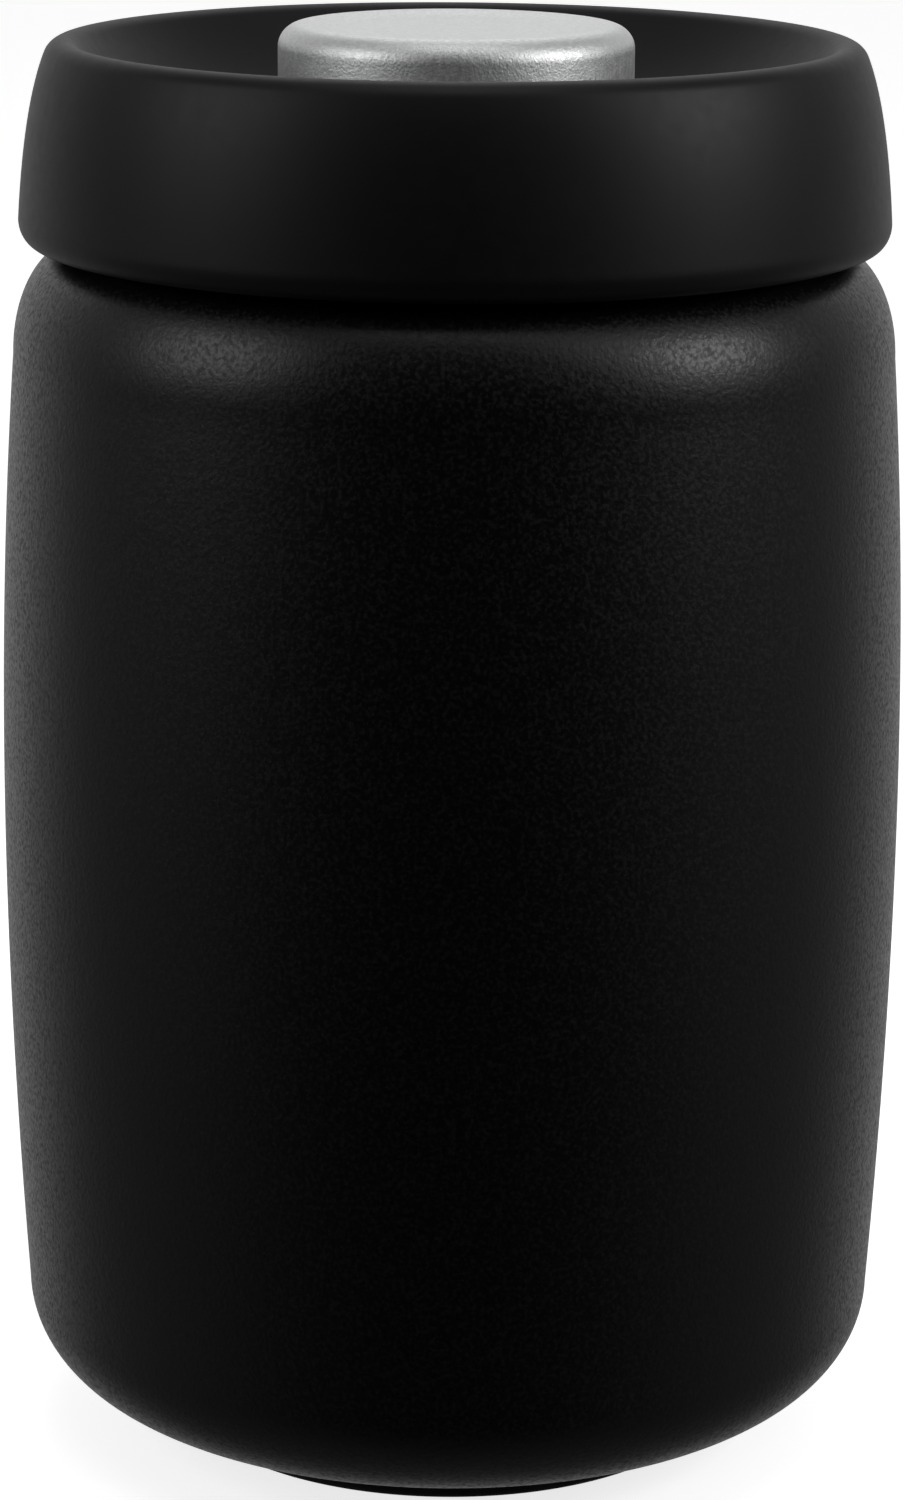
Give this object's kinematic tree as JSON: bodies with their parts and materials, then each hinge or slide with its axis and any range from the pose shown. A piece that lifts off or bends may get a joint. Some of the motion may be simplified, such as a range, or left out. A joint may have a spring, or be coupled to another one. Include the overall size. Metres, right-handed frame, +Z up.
{
  "type": "push-button vacuum canister",
  "caption": "Barrel-shaped black canister with a bowl-topped lift-off lid and a round metal pump button that presses to draw out air and twists to let it back in.",
  "frame": {"origin": "centre of the base pad's underside, on the surface the canister stands on", "axes": "+Z up along the canister's axis, which every turned piece shares; +X towards the vent pin"},
  "size_m": [0.1182, 0.1182, 0.1868],
  "materials": {
    "powder_coat": "matte black powder coat with a fine grain on a drawn steel jar, bare satin steel inside",
    "base_silicone": "dark grey non-slip silicone, smooth matte",
    "lid_plastic": "smooth matte black moulded plastic",
    "liner_plastic": "dark grey moulded plastic, fine spark texture",
    "gasket_silicone": "pale translucent food silicone",
    "cylinder_plastic": "smoky clear moulded plastic",
    "seal_rubber": "black nitrile rubber, satin",
    "bare_steel": "bare stainless steel, satin",
    "filter_felt": "off-white pressed felt",
    "screw_steel": "turned stainless steel",
    "valve_silicone": "soft pale silicone",
    "spring_steel": "drawn spring wire",
    "button_metal": "satin silver metal, bead-blasted, bright on the rounded edge"
  },
  "bodies": {
    "canister": {"canister_shell": "powder_coat", "base_pad": "base_silicone"},
    "lid": {"lid_shell": "lid_plastic", "lid_liner": "liner_plastic", "main_gasket": "gasket_silicone", "pump_cylinder": "cylinder_plastic", "cylinder_oring": "seal_rubber", "filter_cup": "bare_steel", "filter_disc": "filter_felt", "lid_screw_1": "screw_steel", "lid_screw_2": "screw_steel", "lid_screw_3": "screw_steel", "lid_screw_4": "screw_steel"},
    "intake_valve": {"intake_valve": "valve_silicone"},
    "vent": {"vent_pin": "screw_steel", "vent_seal": "valve_silicone", "vent_spring": "spring_steel"},
    "release": {"release_ring": "liner_plastic"},
    "button": {"button_cap": "button_metal", "button_core": "lid_plastic", "return_spring": "spring_steel", "piston": "liner_plastic", "piston_seal": "seal_rubber", "piston_screw": "screw_steel"}
  },
  "joints": [
    {"name": "lid_lift", "type": "slide", "parent": "canister", "child": "lid", "axis": [0, 0, 1], "range_m": [0, 0.06]},
    {"name": "release_turn", "type": "hinge", "parent": "lid", "child": "release", "pos_m": [0, 0, 0.1588], "axis": [0, 0, 1], "range_deg": [0, 60]},
    {"name": "button_press", "type": "slide", "parent": "release", "child": "button", "axis": [0, 0, 1], "range_m": [-0.008, 0], "stiffness_N_per_m": 600, "springref_m": 0.006, "deforming": ["return_spring"]},
    {"name": "vent_travel", "type": "slide", "parent": "lid", "child": "vent", "axis": [0, 0, 1], "range_m": [-0.0015, 0], "deforming": ["vent_spring"]},
    {"name": "intake_valve_lift", "type": "slide", "parent": "lid", "child": "intake_valve", "axis": [0, 0, 1], "range_m": [0, 0.0006], "stiffness_N_per_m": 60, "springref_m": -0.0005}
  ],
  "couplings": [
    {"joint": "vent_travel", "follows": "release_turn", "m_per_rad": -0.0014324}
  ]
}
